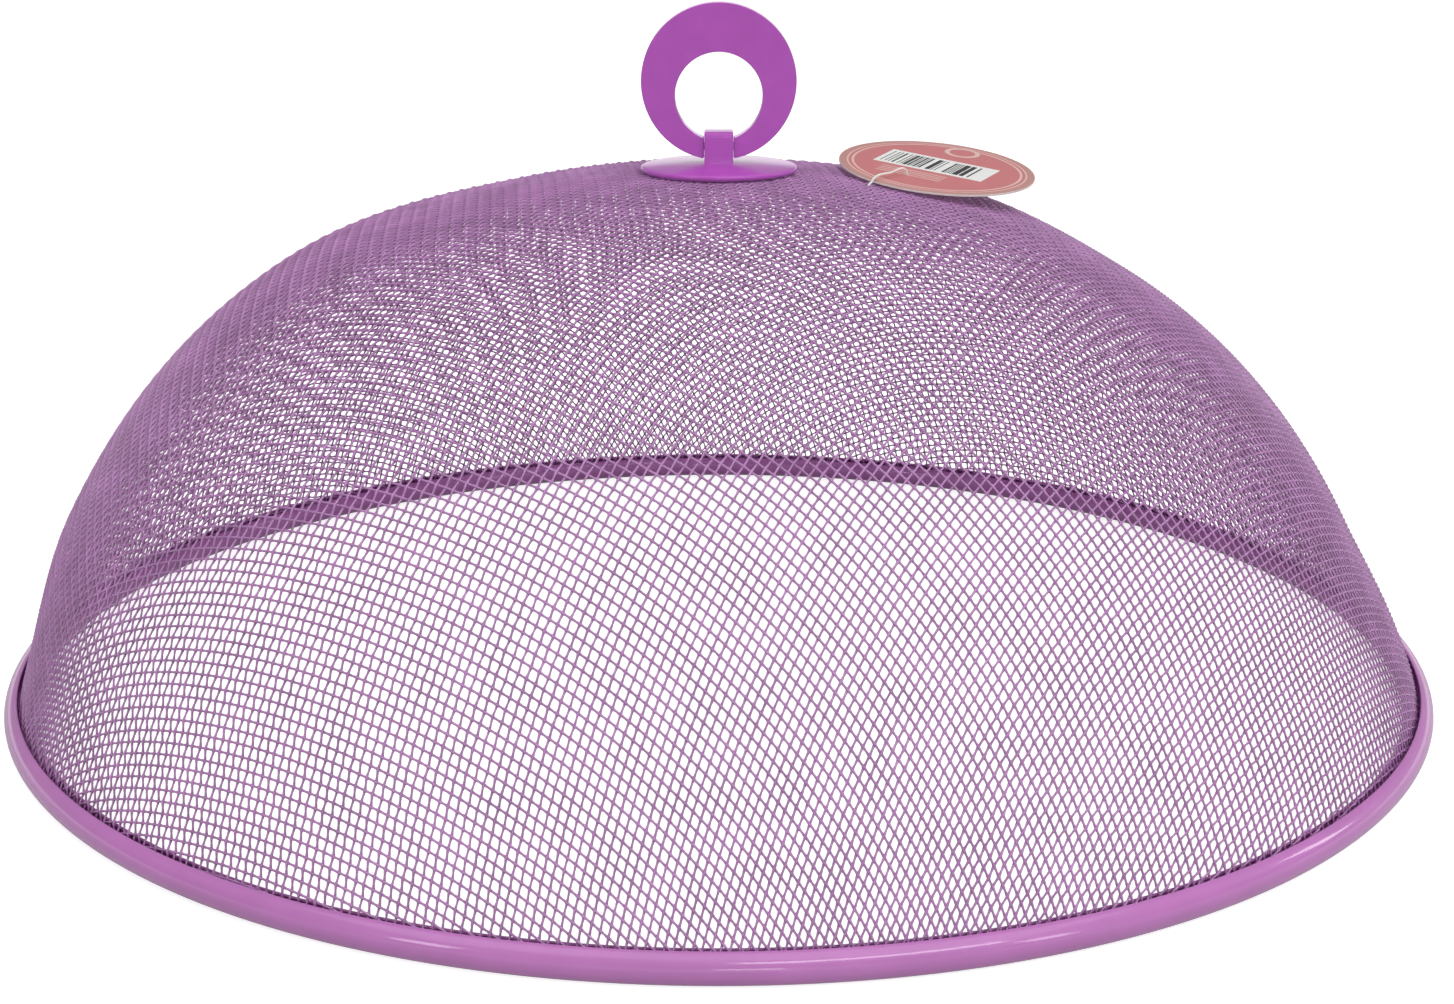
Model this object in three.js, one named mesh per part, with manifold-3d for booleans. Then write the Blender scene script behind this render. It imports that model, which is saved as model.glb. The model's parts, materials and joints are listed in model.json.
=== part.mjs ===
// A round food cover: a pressed wire cloth dome in a rolled rim hoop, with a folding pull ring and a hang tag.
// Millimetres, +Z up. The origin is the centre of the circle that the rim hoop stands on.
import * as THREE from "three";
import { mergeVertices } from "three/addons/utils/BufferGeometryUtils.js";
import Module from "manifold-3d";

const wasm = await Module();
wasm.setup();
const { Manifold, Mesh: SolidMesh } = wasm;

// Shared sizes
const outerDiameter = 355; // across the rim hoop
const fitGap = 0.3; // air between neighbouring pieces
const cutOverrun = 2; // how far a cut runs past the piece it cuts
const roundSegments = 48; // facets round the dome and the hoop
const smallSegments = 32; // facets round the discs and the screw
const boreSegments = 20; // facets round bores, the pin and the filament's hole
const bendSegments = 3; // facets round a small turned edge
const bevelSegments = 2; // facets round a moulded edge

// Rim hoop: steel strip rolled to a tube that stays open where the cloth goes in
const rimTubeDiameter = 7;
const rimSheet = 0.6; // strip thickness
const rimFoot = 1.6; // width of the flat that the hoop stands on
const rimQuarterSteps = 3; // facets in each quarter of the tube's section

// Wire cloth dome: one cubic curve from the middle of the rim tube to the crown
const clothThickness = 1; // two crossing wires with their coating
const crownHeight = 126.2; // middle of the cloth at the crown
const flankLean = THREE.MathUtils.degToRad(17.3); // lean of the flank where it leaves the rim
const flankReach = 75.4; // length of the curve's lower handle
const crownReach = 108.3; // length of the curve's upper handle
const clothSteps = 12; // facets from rim to crown
const curveHalvings = 40; // halvings of the curve when a point on it is sought
const clothHeading = THREE.MathUtils.degToRad(-33); // of one set of wires at the crown, from +X
const cellsAcross = 10; // openings from rim to rim over the crown, each for a field of the fine weave
const strapWidth = 11.5; // cloth between two openings
const crownPatchBeyond = 2.5; // unbroken cloth outside the base's edge
const anchorPatchBeyond = 4; // unbroken cloth round the filament's hole
const rimBandRise = 3.5; // unbroken cloth above the rim tube
const leastCellShare = 0.15; // a smaller piece of an opening stays cloth

// Handle base: thin moulded disc, hinge post above it, spigot through the cloth
const baseDiameter = 38.8;
const baseThickness = 1.3;
const baseEdgeRadius = 0.5;
const baseRings = 4; // rings of facets from the spigot to the disc's edge
const spigotDiameter = 6.4;
const spigotBeyond = 0.2; // how far the spigot comes out under the cloth
const postWidth = 7; // along the pin
const postDepth = 7.4;
const postRise = 3.7; // top above the pin
const postEdgeRadius = 0.35;
const postTopRadius = 1.1; // rounding of the top's front and back edges
const postCurveSegments = 5;
const pinAxisHeight = 6.1; // above the cloth at the crown

// Hinge pin
const pinDiameter = 2;
const pinRunningGap = 0.15; // round the pin, in the post and in the ring
const pinReach = 2.5; // how deep each end goes into the ring
const pinChamfer = 0.25;

// Pull ring: a hole set low in a round plate, open below where it straddles the post
const ringDiameter = 37.5;
const ringHoleDiameter = 21.4;
const ringThickness = 4.5;
const ringHoleDrop = 3.5; // how far the hole's centre lies below the ring's centre
const ringCentreRise = 15.6; // ring's centre above the pin
const ringEdgeRadius = 0.6;
const ringEndChamfer = 1; // bevel at the lower corner of each end
const ringCurveSegments = 30;

// Backing disc and screw inside the dome
const backingDiameter = 26;
const backingThickness = 1.8;
const backingEdgeRadius = 0.7;
const screwDiameter = 2.9;
const screwHoleDiameter = 3.4;
const screwHeadDiameter = 6;
const screwHeadHeight = 2.1;
const screwCrownSteps = 4;
const screwPoint = 1; // length of the tapered tip
const screwTipDiameter = 1.6;
const screwTipGap = 0.4; // between the tip and the end of its hole
const eyeWall = 0.8; // plastic left between the pin's eye and the screw's hole
const recessWidth = 0.9; // cross recess in the head
const recessSpan = 3.2;
const recessDepth = 1.1;

// Hang tag: round card that leans on the dome's right shoulder
const tagDiameter = 48.6;
const tagThickness = 0.5;
const tagCentreX = 54;
const tagCentreY = 8.7;
const tagLeanRight = THREE.MathUtils.degToRad(4.5);
const tagLeanFront = THREE.MathUtils.degToRad(7.1);
const tagHoleReach = 12; // hole from the card's centre
const tagHoleAzimuth = THREE.MathUtils.degToRad(-133);
const tagSegments = 24; // facets for each half of the card's edge

// Tag fastener: toggle under the cloth, filament over the card's edge, paddle under the card
const filamentDiameter = 0.9;
const filamentSides = 8;
const filamentSteps = 36;
const anchorBeyond = 3; // where the filament leaves the cloth, outside the card's edge
const anchorHoleDiameter = 3.8; // two cells of the cloth, opened by the filament
const anchorRiseOut = 0.95; // filament's lean in the cloth, at the cloth's outer face
const edgeAir = 1; // filament's standoff from the card's edge, which lets the card turn
const filamentBow = 0.9; // how far the filament bows up over the card
const bendReach = 1.1; // size of the bend above the card's hole
const toggleDiameter = 1.1;
const toggleLength = 8;
const toggleGap = 0.5; // between the toggle and the cloth above it
const paddleLength = 5;
const paddleWidth = 2.6;
const paddleThickness = 0.6;

// Colours and finishes
const coatedWire = { color: 0x9c5aa4, roughness: 0.45, metalness: 0.2 };
const enamelledSteel = { color: 0xb565bd, roughness: 0.28, metalness: 0.1 };
const ringPlastic = { color: 0xa252ad, roughness: 0.3, metalness: 0 };
const basePlastic = { color: 0xc878cc, roughness: 0.22, metalness: 0 };
const plainSteel = { color: 0xb9bcc0, roughness: 0.35, metalness: 1 };
const tagCard = { color: 0xd4858a, roughness: 0.6, metalness: 0 };
const clearNylon = { color: 0xf1efe9, roughness: 0.35, metalness: 0 };

// Worked out from the sizes above
const tubeRadius = rimTubeDiameter / 2;
const hoopRadius = outerDiameter / 2 - tubeRadius;
const tubeHeight = Math.sqrt(tubeRadius ** 2 - (rimFoot / 2) ** 2);
const clothHalf = clothThickness / 2;
const pinHeight = crownHeight + pinAxisHeight;
const eyeRadius = pinDiameter / 2 + pinRunningGap;
const screwBoreEnd = pinHeight - eyeRadius - eyeWall;
const up = new THREE.Vector3(0, 0, 1);

const clothCurve = new THREE.CubicBezierCurve(
  new THREE.Vector2(hoopRadius, tubeHeight),
  new THREE.Vector2(
    hoopRadius - flankReach * Math.sin(flankLean),
    tubeHeight + flankReach * Math.cos(flankLean),
  ),
  new THREE.Vector2(crownReach, crownHeight),
  new THREE.Vector2(0, crownHeight),
);

// The curve's share at which the cloth lies at a given distance from the axis
function clothShareAt(radius) {
  let low = 0;
  let high = 1;
  for (let halving = 0; halving < curveHalvings; halving += 1) {
    const middle = (low + high) / 2;
    if (clothCurve.getPoint(middle).x > radius) low = middle;
    else high = middle;
  }
  return (low + high) / 2;
}

// Height of the middle of the cloth at a given distance from the axis
function clothHeightAt(radius) {
  return clothCurve.getPoint(clothShareAt(radius)).y;
}

// The cloth's outward direction in the profile's plane
function clothNormal(share) {
  const tangent = clothCurve.getTangent(share);
  return new THREE.Vector2(tangent.y, -tangent.x);
}

// A closed mesh as a solid that can be joined and cut; slivers on a lathe's axis are left out
function solidOf(geometry) {
  const bare = geometry.clone();
  bare.deleteAttribute("normal");
  bare.deleteAttribute("uv");
  const merged = mergeVertices(bare);
  const corners = merged.index.array;
  const triangles = [];
  for (let first = 0; first < corners.length; first += 3) {
    const [a, b, c] = corners.slice(first, first + 3);
    if (a !== b && b !== c && c !== a) triangles.push(a, b, c);
  }
  const solidMesh = new SolidMesh({
    numProp: 3,
    vertProperties: new Float32Array(merged.attributes.position.array),
    triVerts: new Uint32Array(triangles),
  });
  return new Manifold(solidMesh);
}

function geometryOf(solid) {
  const solidMesh = solid.getMesh();
  const geometry = new THREE.BufferGeometry();
  geometry.setAttribute("position", new THREE.BufferAttribute(solidMesh.vertProperties, 3));
  geometry.setIndex(new THREE.BufferAttribute(solidMesh.triVerts, 1));
  geometry.computeVertexNormals();
  return geometry;
}

// Turns a closed outline of radius and height round the Z axis
function turned(outline, segments) {
  return new THREE.LatheGeometry(outline, segments).rotateX(Math.PI / 2);
}

// A round bar or bore along a direction, from its centre
function bar(radius, length, segments, direction, centre) {
  const geometry = new THREE.CylinderGeometry(radius, radius, length, segments);
  const turn = new THREE.Quaternion().setFromUnitVectors(new THREE.Vector3(0, 1, 0), direction);
  return geometry.applyQuaternion(turn).translate(centre.x, centre.y, centre.z);
}

// Points on an arc of a profile, from one angle to another
function arcPoints(centreX, centreY, radius, from, to, steps) {
  const points = [];
  for (let step = 0; step <= steps; step += 1) {
    const angle = from + ((to - from) * step) / steps;
    points.push(new THREE.Vector2(centreX + radius * Math.cos(angle), centreY + radius * Math.sin(angle)));
  }
  return points;
}

function finished(name, geometry, finish) {
  const mesh = new THREE.Mesh(geometry, new THREE.MeshStandardMaterial(finish));
  mesh.name = name;
  return mesh;
}

// Where the tag hangs
const tagRadius = tagDiameter / 2;
const tagTurn = new THREE.Euler(tagLeanFront, tagLeanRight, 0, "XYZ");
const tagNormal = up.clone().applyEuler(tagTurn);

// A point in the card's own plane, carried to its lean but not yet to its height
function onCard(reach, azimuth, height) {
  const point = new THREE.Vector3(reach * Math.cos(azimuth), reach * Math.sin(azimuth), height);
  return point.applyEuler(tagTurn).add(new THREE.Vector3(tagCentreX, tagCentreY, 0));
}

// The card lies as low as its nearest point to the cloth allows
function tagHeight() {
  const rings = 8;
  const spokes = 48;
  let highest = 0;
  for (let ring = 1; ring <= rings; ring += 1) {
    for (let spoke = 0; spoke < spokes; spoke += 1) {
      const point = onCard((tagRadius * ring) / rings, (2 * Math.PI * spoke) / spokes, 0);
      highest = Math.max(highest, clothHeightAt(Math.hypot(point.x, point.y)) - point.z);
    }
  }
  return highest + clothHalf + fitGap + tagThickness / 2;
}

const tagCentre = new THREE.Vector3(tagCentreX, tagCentreY, tagHeight());
const raiseToCard = new THREE.Vector3(0, 0, tagCentre.z);

// Where the filament leaves the cloth
const anchorFlat = onCard(tagRadius + anchorBeyond, tagHoleAzimuth, 0);
const anchorRadius = Math.hypot(anchorFlat.x, anchorFlat.y);
const anchorShare = clothShareAt(anchorRadius);
const anchor = new THREE.Vector3(anchorFlat.x, anchorFlat.y, clothCurve.getPoint(anchorShare).y);
const anchorSlope = clothNormal(anchorShare);
const anchorNormal = new THREE.Vector3(
  (anchorSlope.x * anchor.x) / anchorRadius,
  (anchorSlope.x * anchor.y) / anchorRadius,
  anchorSlope.y,
).normalize();
const tagHole = onCard(tagHoleReach, tagHoleAzimuth, 0).add(raiseToCard);
const towardsCard = tagHole.clone().sub(anchor).projectOnPlane(anchorNormal).normalize();
const toggleAxis = towardsCard.clone().cross(anchorNormal).normalize();
const toggleDepth = clothHalf + toggleGap + toggleDiameter / 2;
const toggleCentre = anchor.clone().addScaledVector(anchorNormal, -toggleDepth);

// A point of the flat cloth carried onto the dome: it keeps its distance from the crown along the cloth
function pressedPoint(flat) {
  const clothReach = clothCurve.getLength();
  const reach = Math.hypot(flat.x, flat.y);
  const share = Math.max(1 - reach / clothReach, 0);
  const pastRim = Math.max(reach - clothReach, 0);
  const profile = clothCurve.getPointAt(share).addScaledVector(clothCurve.getTangentAt(share), -pastRim);
  profile.addScaledVector(clothNormal(clothCurve.getUtoTmapping(share)), flat.z);
  const azimuth = clothHeading + Math.atan2(flat.y, flat.x);
  return new THREE.Vector3(profile.x * Math.cos(azimuth), profile.x * Math.sin(azimuth), profile.y);
}

// One opening, as deep as the cloth's curve needs, between straps that run along the wires
function clothOpening(column, row) {
  const pitch = (2 * clothCurve.getLength()) / cellsAcross;
  const side = pitch - strapWidth;
  const opening = new THREE.BoxGeometry(side, side, side / 2);
  opening.translate((column + 1 / 2) * pitch, (row + 1 / 2) * pitch, 0);
  const place = opening.attributes.position;
  for (let index = 0; index < place.count; index += 1) {
    const point = pressedPoint(new THREE.Vector3().fromBufferAttribute(place, index));
    place.setXYZ(index, point.x, point.y, point.z);
  }
  return solidOf(opening);
}

// Where the cloth stays unbroken: under the base, round the filament's hole and above the rim
function unbrokenCloth() {
  const crownRadius = baseDiameter / 2 + crownPatchBeyond;
  const crown = bar(crownRadius, crownHeight, smallSegments, up, new THREE.Vector3(0, 0, crownHeight));
  const patchRadius = anchorHoleDiameter / 2 + anchorPatchBeyond;
  const patch = bar(patchRadius, tagDiameter, boreSegments, anchorNormal, anchor);
  const bandTop = tubeHeight + tubeRadius + rimBandRise;
  const band = new THREE.BoxGeometry(outerDiameter, outerDiameter, outerDiameter);
  band.translate(0, 0, bandTop - outerDiameter / 2);
  return solidOf(crown).add(solidOf(patch)).add(solidOf(band));
}

// Dome: an even skin on both sides of the curve, opened as a grid and pierced at the crown and for the filament
function meshDome() {
  const pierceShare = clothShareAt(spigotDiameter / 2 + fitGap);
  const shares = [pierceShare, clothShareAt(backingDiameter / 2)];
  for (let step = 0; step < clothSteps; step += 1) shares.push((pierceShare * step) / clothSteps);
  shares.sort((a, b) => a - b);
  const outside = [];
  const inside = [];
  for (const share of shares) {
    const middle = clothCurve.getPoint(share);
    const normal = clothNormal(share);
    outside.push(middle.clone().addScaledVector(normal, clothHalf));
    inside.push(middle.clone().addScaledVector(normal, -clothHalf));
  }
  const outline = [...outside, ...inside.reverse()];
  outline.push(outline[0].clone());
  let cloth = solidOf(turned(outline, roundSegments));
  const unbroken = unbrokenCloth();
  const leastCell = leastCellShare * clothOpening(0, 0).volume();
  for (let column = -cellsAcross / 2; column < cellsAcross / 2; column += 1) {
    for (let row = -cellsAcross / 2; row < cellsAcross / 2; row += 1) {
      const opening = clothOpening(column, row).subtract(unbroken);
      if (opening.volume() > leastCell) cloth = cloth.subtract(opening);
    }
  }
  const holeLength = clothThickness + 2 * cutOverrun;
  const hole = bar(anchorHoleDiameter / 2, holeLength, boreSegments, anchorNormal, anchor);
  return finished("mesh_dome", geometryOf(cloth.subtract(solidOf(hole))), coatedWire);
}

// Hoop: the section is an open ring whose two lips stand off the cloth by the fit gap
function rimHoop() {
  const innerRadius = tubeRadius - rimSheet;
  const clothAngle = Math.PI / 2 + flankLean;
  const lipOffset = clothHalf + fitGap;
  const outerLip = Math.asin(lipOffset / tubeRadius);
  const innerLip = Math.asin(lipOffset / innerRadius);
  const footAngle = Math.asin(rimFoot / 2 / tubeRadius);
  const bottom = -Math.PI / 2;
  const farLip = clothAngle - 2 * Math.PI;
  const rolled = (radius, from, to, quarters) =>
    arcPoints(hoopRadius, tubeHeight, radius, from, to, quarters * rimQuarterSteps);
  const outline = [
    ...rolled(tubeRadius, clothAngle - outerLip, 0, 1),
    ...rolled(tubeRadius, 0, bottom + footAngle, 1).slice(1),
    ...rolled(tubeRadius, bottom - footAngle, -Math.PI, 1),
    ...rolled(tubeRadius, -Math.PI, farLip + outerLip, 1).slice(1),
    ...rolled(innerRadius, farLip + innerLip, clothAngle - innerLip, 4),
  ];
  outline.reverse();
  outline.push(outline[0].clone());
  return finished("rim_hoop", turned(outline, roundSegments), enamelledSteel);
}

// The base's underside follows the cloth's outer face
function baseUnderside(radius) {
  return clothHeightAt(radius) + clothHalf + fitGap;
}

function handleBase() {
  const discRadius = baseDiameter / 2;
  const spigotRadius = spigotDiameter / 2;
  const spigotEnd = crownHeight - clothHalf - spigotBeyond;
  const outline = [new THREE.Vector2(0, spigotEnd), new THREE.Vector2(spigotRadius, spigotEnd)];
  const edgeX = discRadius - baseEdgeRadius;
  for (let ring = 0; ring <= baseRings; ring += 1) {
    const radius = spigotRadius + ((edgeX - spigotRadius) * ring) / baseRings;
    outline.push(new THREE.Vector2(radius, baseUnderside(radius)));
  }
  const edgeLow = baseUnderside(edgeX) + baseEdgeRadius;
  const edgeHigh = baseUnderside(edgeX) + baseThickness - baseEdgeRadius;
  outline.push(...arcPoints(edgeX, edgeLow, baseEdgeRadius, -Math.PI / 4, 0, 1));
  outline.push(...arcPoints(edgeX, edgeHigh, baseEdgeRadius, 0, Math.PI / 2, bendSegments));
  for (let ring = baseRings - 1; ring >= 0; ring -= 1) {
    const radius = (edgeX * ring) / baseRings;
    outline.push(new THREE.Vector2(radius, baseUnderside(radius) + baseThickness));
  }
  const disc = solidOf(turned(outline, smallSegments));

  const halfDepth = postDepth / 2;
  const postFoot = baseUnderside(0) + baseThickness / 2;
  const side = new THREE.Shape();
  side.moveTo(-halfDepth, postFoot);
  side.lineTo(halfDepth, postFoot);
  const cornerY = halfDepth - postTopRadius;
  const cornerZ = pinHeight + postRise - postTopRadius;
  side.absarc(cornerY, cornerZ, postTopRadius, 0, Math.PI / 2, false);
  side.absarc(-cornerY, cornerZ, postTopRadius, Math.PI / 2, Math.PI, false);
  side.closePath();
  const post = new THREE.ExtrudeGeometry(side, {
    depth: postWidth - 2 * postEdgeRadius,
    bevelThickness: postEdgeRadius,
    bevelSize: postEdgeRadius,
    bevelOffset: -postEdgeRadius,
    bevelSegments,
    curveSegments: postCurveSegments,
  }).translate(0, 0, postEdgeRadius - postWidth / 2);
  const alongX = new THREE.Vector3(1, 0, 0);
  const alongY = new THREE.Vector3(0, 1, 0);
  post.applyMatrix4(new THREE.Matrix4().makeBasis(alongY, up, alongX));

  const eyeCentre = new THREE.Vector3(0, 0, pinHeight);
  const eye = bar(eyeRadius, postWidth + 2 * cutOverrun, boreSegments, alongX, eyeCentre);
  const boreLength = screwBoreEnd - spigotEnd + cutOverrun;
  const boreCentre = new THREE.Vector3(0, 0, screwBoreEnd - boreLength / 2);
  const bore = bar(screwHoleDiameter / 2, boreLength, boreSegments, up, boreCentre);
  const base = disc.add(solidOf(post)).subtract(solidOf(eye)).subtract(solidOf(bore));
  return finished("handle_base", geometryOf(base), basePlastic);
}

// Ring: outline in the plane of X and Z, seen from the front, centred on the pin's height
function pullRing() {
  const slotHalf = postWidth / 2 + fitGap;
  const ringRadius = ringDiameter / 2;
  const holeRadius = ringHoleDiameter / 2;
  const holeRise = ringCentreRise - ringHoleDrop;
  const outerFrom = -Math.acos((slotHalf + ringEndChamfer) / ringRadius);
  const holeFrom = -Math.acos(slotHalf / holeRadius);
  const endLow = ringCentreRise + ringRadius * Math.sin(outerFrom) + ringEndChamfer;
  const outline = new THREE.Shape();
  outline.absarc(0, ringCentreRise, ringRadius, outerFrom, Math.PI - outerFrom, false);
  outline.lineTo(-slotHalf, endLow);
  outline.absarc(0, holeRise, holeRadius, Math.PI - holeFrom, holeFrom, true);
  outline.lineTo(slotHalf, endLow);
  outline.closePath();
  const plate = new THREE.ExtrudeGeometry(outline, {
    depth: ringThickness - 2 * ringEdgeRadius,
    bevelThickness: ringEdgeRadius,
    bevelSize: ringEdgeRadius,
    bevelOffset: -ringEdgeRadius,
    bevelSegments,
    curveSegments: ringCurveSegments,
  });
  plate.translate(0, 0, ringEdgeRadius - ringThickness / 2).rotateX(Math.PI / 2);
  const along = new THREE.Vector3(1, 0, 0);
  const eyeLength = 2 * (slotHalf + pinReach + fitGap);
  const eyes = bar(eyeRadius, eyeLength, boreSegments, along, new THREE.Vector3(0, 0, 0));
  const ring = finished("pull_ring", geometryOf(solidOf(plate).subtract(solidOf(eyes))), ringPlastic);
  ring.position.z = pinHeight;
  return ring;
}

function hingePin() {
  const radius = pinDiameter / 2;
  const half = postWidth / 2 + fitGap + pinReach;
  const outline = [
    new THREE.Vector2(0, -half),
    new THREE.Vector2(radius - pinChamfer, -half),
    new THREE.Vector2(radius, pinChamfer - half),
    new THREE.Vector2(radius, half - pinChamfer),
    new THREE.Vector2(radius - pinChamfer, half),
    new THREE.Vector2(0, half),
  ];
  const pin = finished("hinge_pin", new THREE.LatheGeometry(outline, boreSegments), plainSteel);
  pin.rotation.z = Math.PI / 2;
  pin.position.z = pinHeight;
  return pin;
}

// The backing disc's flat top clears the cloth at the disc's own edge
const backingTop = clothHeightAt(backingDiameter / 2) - clothHalf - fitGap;
const backingBottom = backingTop - backingThickness;

function backingDisc() {
  const radius = backingDiameter / 2;
  const holeRadius = screwHoleDiameter / 2;
  const bend = backingEdgeRadius;
  const outline = [
    new THREE.Vector2(holeRadius, backingBottom),
    ...arcPoints(radius - bend, backingBottom + bend, bend, -Math.PI / 2, 0, bendSegments),
    new THREE.Vector2(radius, backingTop),
    new THREE.Vector2(holeRadius, backingTop),
    new THREE.Vector2(holeRadius, backingBottom),
  ];
  return finished("backing_disc", turned(outline, smallSegments), basePlastic);
}

// Screw: domed head below the backing disc, shank up through the spigot, tapered tip
function handleScrew() {
  const headTop = backingBottom - fitGap;
  const headRadius = screwHeadDiameter / 2;
  const shankRadius = screwDiameter / 2;
  const tip = screwBoreEnd - screwTipGap;
  const outline = [];
  for (let step = 0; step <= screwCrownSteps; step += 1) {
    const angle = (Math.PI / 2) * (step / screwCrownSteps);
    const x = headRadius * Math.sin(angle);
    outline.push(new THREE.Vector2(x, headTop - screwHeadHeight * Math.cos(angle)));
  }
  outline.push(new THREE.Vector2(shankRadius, headTop));
  outline.push(new THREE.Vector2(shankRadius, tip - screwPoint));
  outline.push(new THREE.Vector2(screwTipDiameter / 2, tip));
  outline.push(new THREE.Vector2(0, tip));
  let screw = solidOf(turned(outline, smallSegments));
  const recessFloor = headTop - screwHeadHeight + recessDepth;
  const recessHeight = recessDepth + cutOverrun;
  for (const quarter of [0, 1]) {
    const arm = new THREE.BoxGeometry(recessSpan, recessWidth, recessHeight);
    arm.rotateZ((quarter * Math.PI) / 2).translate(0, 0, recessFloor - recessHeight / 2);
    screw = screw.subtract(solidOf(arm));
  }
  return finished("handle_screw", geometryOf(screw), plainSteel);
}

// Card, modelled flat round its own centre and hung in the leaning group
function hangTag() {
  const card = new THREE.Shape();
  card.absarc(0, 0, tagRadius, 0, 2 * Math.PI, false);
  const hole = new THREE.Path();
  const holeX = tagHoleReach * Math.cos(tagHoleAzimuth);
  const holeY = tagHoleReach * Math.sin(tagHoleAzimuth);
  hole.absarc(holeX, holeY, filamentDiameter / 2 + fitGap, 0, 2 * Math.PI, true);
  card.holes.push(hole);
  const sheet = new THREE.ExtrudeGeometry(card, {
    depth: tagThickness,
    bevelEnabled: false,
    curveSegments: tagSegments,
  }).translate(0, 0, -tagThickness / 2);
  return finished("hang_tag", sheet, tagCard);
}

// Filament with its toggle and paddle, one moulding
function tagFastener() {
  const overCard = tagThickness / 2 + fitGap + filamentDiameter / 2;
  const edge = onCard(tagRadius + edgeAir / 2, tagHoleAzimuth, overCard).add(raiseToCard);
  const middleReach = (tagRadius + tagHoleReach + bendReach) / 2;
  const bow = onCard(middleReach, tagHoleAzimuth, overCard + filamentBow).add(raiseToCard);
  const bend = onCard(tagHoleReach + bendReach / 2, tagHoleAzimuth, overCard + bendReach / 2).add(raiseToCard);
  const paddleDrop = tagThickness / 2 + fitGap + paddleThickness / 2;
  const paddleCentre = tagHole.clone().addScaledVector(tagNormal, -paddleDrop);
  const clothFace = anchor
    .clone()
    .addScaledVector(anchorNormal, clothHalf)
    .addScaledVector(towardsCard, anchorRiseOut);
  const besideEdge = onCard(tagRadius + edgeAir + filamentDiameter / 2, tagHoleAzimuth, 0).add(raiseToCard);
  const route = new THREE.CatmullRomCurve3(
    [toggleCentre, clothFace, besideEdge, edge, bow, bend, tagHole, paddleCentre],
    false,
    "centripetal",
  );
  const section = new THREE.Shape();
  section.absarc(0, 0, filamentDiameter / 2, 0, 2 * Math.PI, false);
  const filament = new THREE.ExtrudeGeometry(section, {
    steps: filamentSteps,
    extrudePath: route,
    curveSegments: filamentSides / 2,
  });
  const toggle = bar(toggleDiameter / 2, toggleLength, filamentSides, toggleAxis, toggleCentre);
  const paddle = new THREE.BoxGeometry(paddleLength, paddleWidth, paddleThickness);
  paddle.rotateZ(tagHoleAzimuth + Math.PI / 2);
  paddle.applyQuaternion(new THREE.Quaternion().setFromEuler(tagTurn));
  paddle.translate(paddleCentre.x, paddleCentre.y, paddleCentre.z);
  const fastener = solidOf(filament).add(solidOf(toggle)).add(solidOf(paddle));
  return finished("tag_fastener", geometryOf(fastener), clearNylon);
}

const cover = new THREE.Group();
cover.add(meshDome(), rimHoop(), handleBase(), pullRing(), hingePin(), backingDisc(), handleScrew());
const tagGroup = new THREE.Group();
tagGroup.position.copy(tagCentre);
tagGroup.rotation.copy(tagTurn);
tagGroup.add(hangTag());
cover.add(tagGroup, tagFastener());

export default cover;
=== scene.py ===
"""Looks of a dome mesh food cover: woven wire cloth, a rolled rim, a folding pull ring and a hang tag.

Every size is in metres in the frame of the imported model: +Z up, the camera on the -Y side, +X to its right.
"""

import json
import math

import bmesh
import bpy
import numpy as np
from bpy.props import FloatProperty, FloatVectorProperty, PointerProperty
from mathutils import Matrix, Vector


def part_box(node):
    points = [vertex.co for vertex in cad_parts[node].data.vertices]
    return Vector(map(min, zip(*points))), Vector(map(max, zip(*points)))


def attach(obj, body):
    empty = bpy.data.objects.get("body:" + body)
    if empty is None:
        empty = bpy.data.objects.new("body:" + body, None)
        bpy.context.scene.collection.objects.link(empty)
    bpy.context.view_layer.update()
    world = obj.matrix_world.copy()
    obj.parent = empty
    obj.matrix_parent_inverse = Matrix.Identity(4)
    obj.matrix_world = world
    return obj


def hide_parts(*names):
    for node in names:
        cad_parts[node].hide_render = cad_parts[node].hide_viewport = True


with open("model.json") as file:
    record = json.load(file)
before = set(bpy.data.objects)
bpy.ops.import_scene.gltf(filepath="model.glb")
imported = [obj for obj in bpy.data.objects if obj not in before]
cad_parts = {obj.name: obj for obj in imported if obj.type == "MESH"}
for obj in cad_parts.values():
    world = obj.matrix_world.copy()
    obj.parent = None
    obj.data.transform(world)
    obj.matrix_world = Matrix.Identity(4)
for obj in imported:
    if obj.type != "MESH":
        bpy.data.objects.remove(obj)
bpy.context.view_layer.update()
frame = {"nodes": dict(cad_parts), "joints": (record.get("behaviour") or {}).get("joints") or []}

bl_info = {
    "name": "Dome Mesh Food Cover",
    "version": (1, 0, 0),
    "blender": (4, 5, 0),
    "location": "3D View > Sidebar > Food Cover",
    "description": "Models a wire cloth food cover with its rim hoop, pull ring and hang tag",
    "category": "Add Mesh",
}

MM = 0.001
JOINTS = {joint["name"]: joint for joint in frame["joints"]}

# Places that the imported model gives
RIM_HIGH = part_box("rim_hoop")[1]
BASE_LOW, BASE_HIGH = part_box("handle_base")
RING_LOW, RING_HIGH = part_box("pull_ring")
BACKING_LOW, BACKING_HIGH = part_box("backing_disc")
SCREW_LOW, SCREW_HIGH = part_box("handle_screw")
TAG_LOW, TAG_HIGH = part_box("hang_tag")
PIN_CENTRE = Vector(JOINTS["ring_fold"]["pos_m"])
TOGGLE_CENTRE = Vector(JOINTS["tag_lift"]["pos_m"])
TAG_HOLE = Vector(JOINTS["tag_turn"]["pos_m"])
TAG_NORMAL = Vector(JOINTS["tag_turn"]["axis"]).normalized()
TAG_CENTRE = (TAG_LOW + TAG_HIGH) / 2


def size(name, description, millimetres, least=0):
    """A length that a user can change, given in millimetres."""
    return FloatProperty(name=name, description=description, default=millimetres * MM, min=least,
                         unit="LENGTH", precision=5)


def angle(name, description, degrees):
    """An angle that a user can change, given in degrees."""
    return FloatProperty(name=name, description=description, default=math.radians(degrees), unit="ROTATION")


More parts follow.
